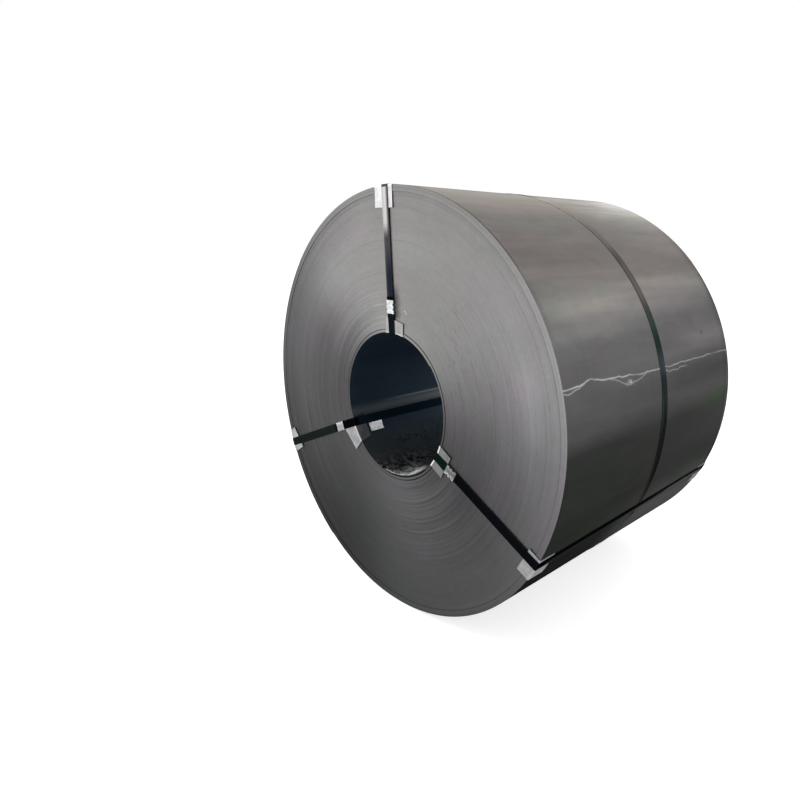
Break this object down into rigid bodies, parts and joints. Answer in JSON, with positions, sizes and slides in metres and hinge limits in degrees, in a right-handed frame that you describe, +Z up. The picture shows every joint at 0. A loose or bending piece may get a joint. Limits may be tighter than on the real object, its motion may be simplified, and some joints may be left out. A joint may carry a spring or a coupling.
{
  "type": "steel coil",
  "caption": "Wound coil of dark steel strip lying on its side, strapped round its belly and through its bore, with crimped seals and edge protectors.",
  "frame": {"origin": "on the floor under the middle of the coil", "axes": "+Z up; the coil's axis lies along Y, and -Y is the end with the seals; +X to the right seen from that end"},
  "size_m": [1.4799, 1.0584, 1.48],
  "materials": {
    "strip_steel": "rolled strip, dark grey, oiled, semi-gloss on its outside and matt on the sheared ends",
    "strapping": "black waxed steel strapping, semi-gloss",
    "seal_metal": "zinc-coated sheet, crimped, bright with scuffs",
    "galvanised_sheet": "galvanised sheet, satin with spangle",
    "label_paper": "plain pale label, matt"
  },
  "bodies": {
    "root": {"coil_body": "strip_steel", "belly_band": "strapping", "belly_band_seal": "seal_metal", "bore_band_top": "strapping", "bore_band_top_seal": "seal_metal", "rim_protector_top_near": "galvanised_sheet", "bore_protector_top_near": "galvanised_sheet", "rim_protector_top_far": "galvanised_sheet", "bore_protector_top_far": "galvanised_sheet", "bore_band_left": "strapping", "bore_band_left_seal": "seal_metal", "rim_protector_left_near": "galvanised_sheet", "bore_protector_left_near": "galvanised_sheet", "rim_protector_left_far": "galvanised_sheet", "bore_protector_left_far": "galvanised_sheet", "bore_band_right": "strapping", "bore_band_right_seal": "seal_metal", "rim_protector_right_near": "galvanised_sheet", "bore_protector_right_near": "galvanised_sheet", "rim_protector_right_far": "galvanised_sheet", "bore_protector_right_far": "galvanised_sheet", "bore_label": "label_paper"}
  },
  "joints": []
}
